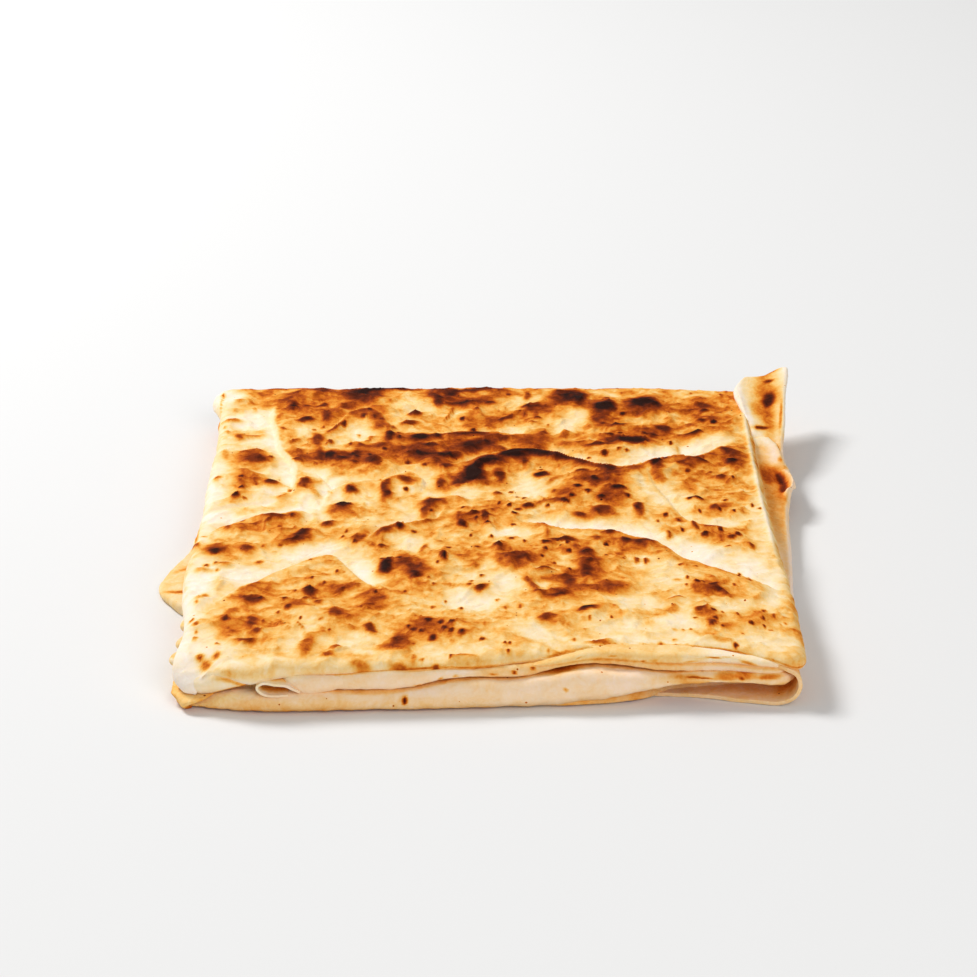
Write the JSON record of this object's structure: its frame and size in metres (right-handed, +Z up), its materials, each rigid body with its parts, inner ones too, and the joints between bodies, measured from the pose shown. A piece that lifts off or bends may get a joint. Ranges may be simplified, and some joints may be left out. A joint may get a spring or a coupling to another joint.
{
  "type": "folded flatbread parcel",
  "caption": "Flat rectangular parcel of thin griddled dough folded round its filling, with overlapping layered edges, a tucked corner, a raised back corner and browned blisters",
  "frame": {"origin": "centre of the bounding box in plan, on the table under the flat underside", "axes": "+X to the right along the open front edge, +Y from the open front edge to the back fold, +Z up"},
  "size_m": [0.1954, 0.2146, 0.0198],
  "materials": {
    "crust": "matte baked dough, cream to golden brown with dark scorches"
  },
  "bodies": {
    "root": {"gozleme": "crust"}
  },
  "joints": []
}
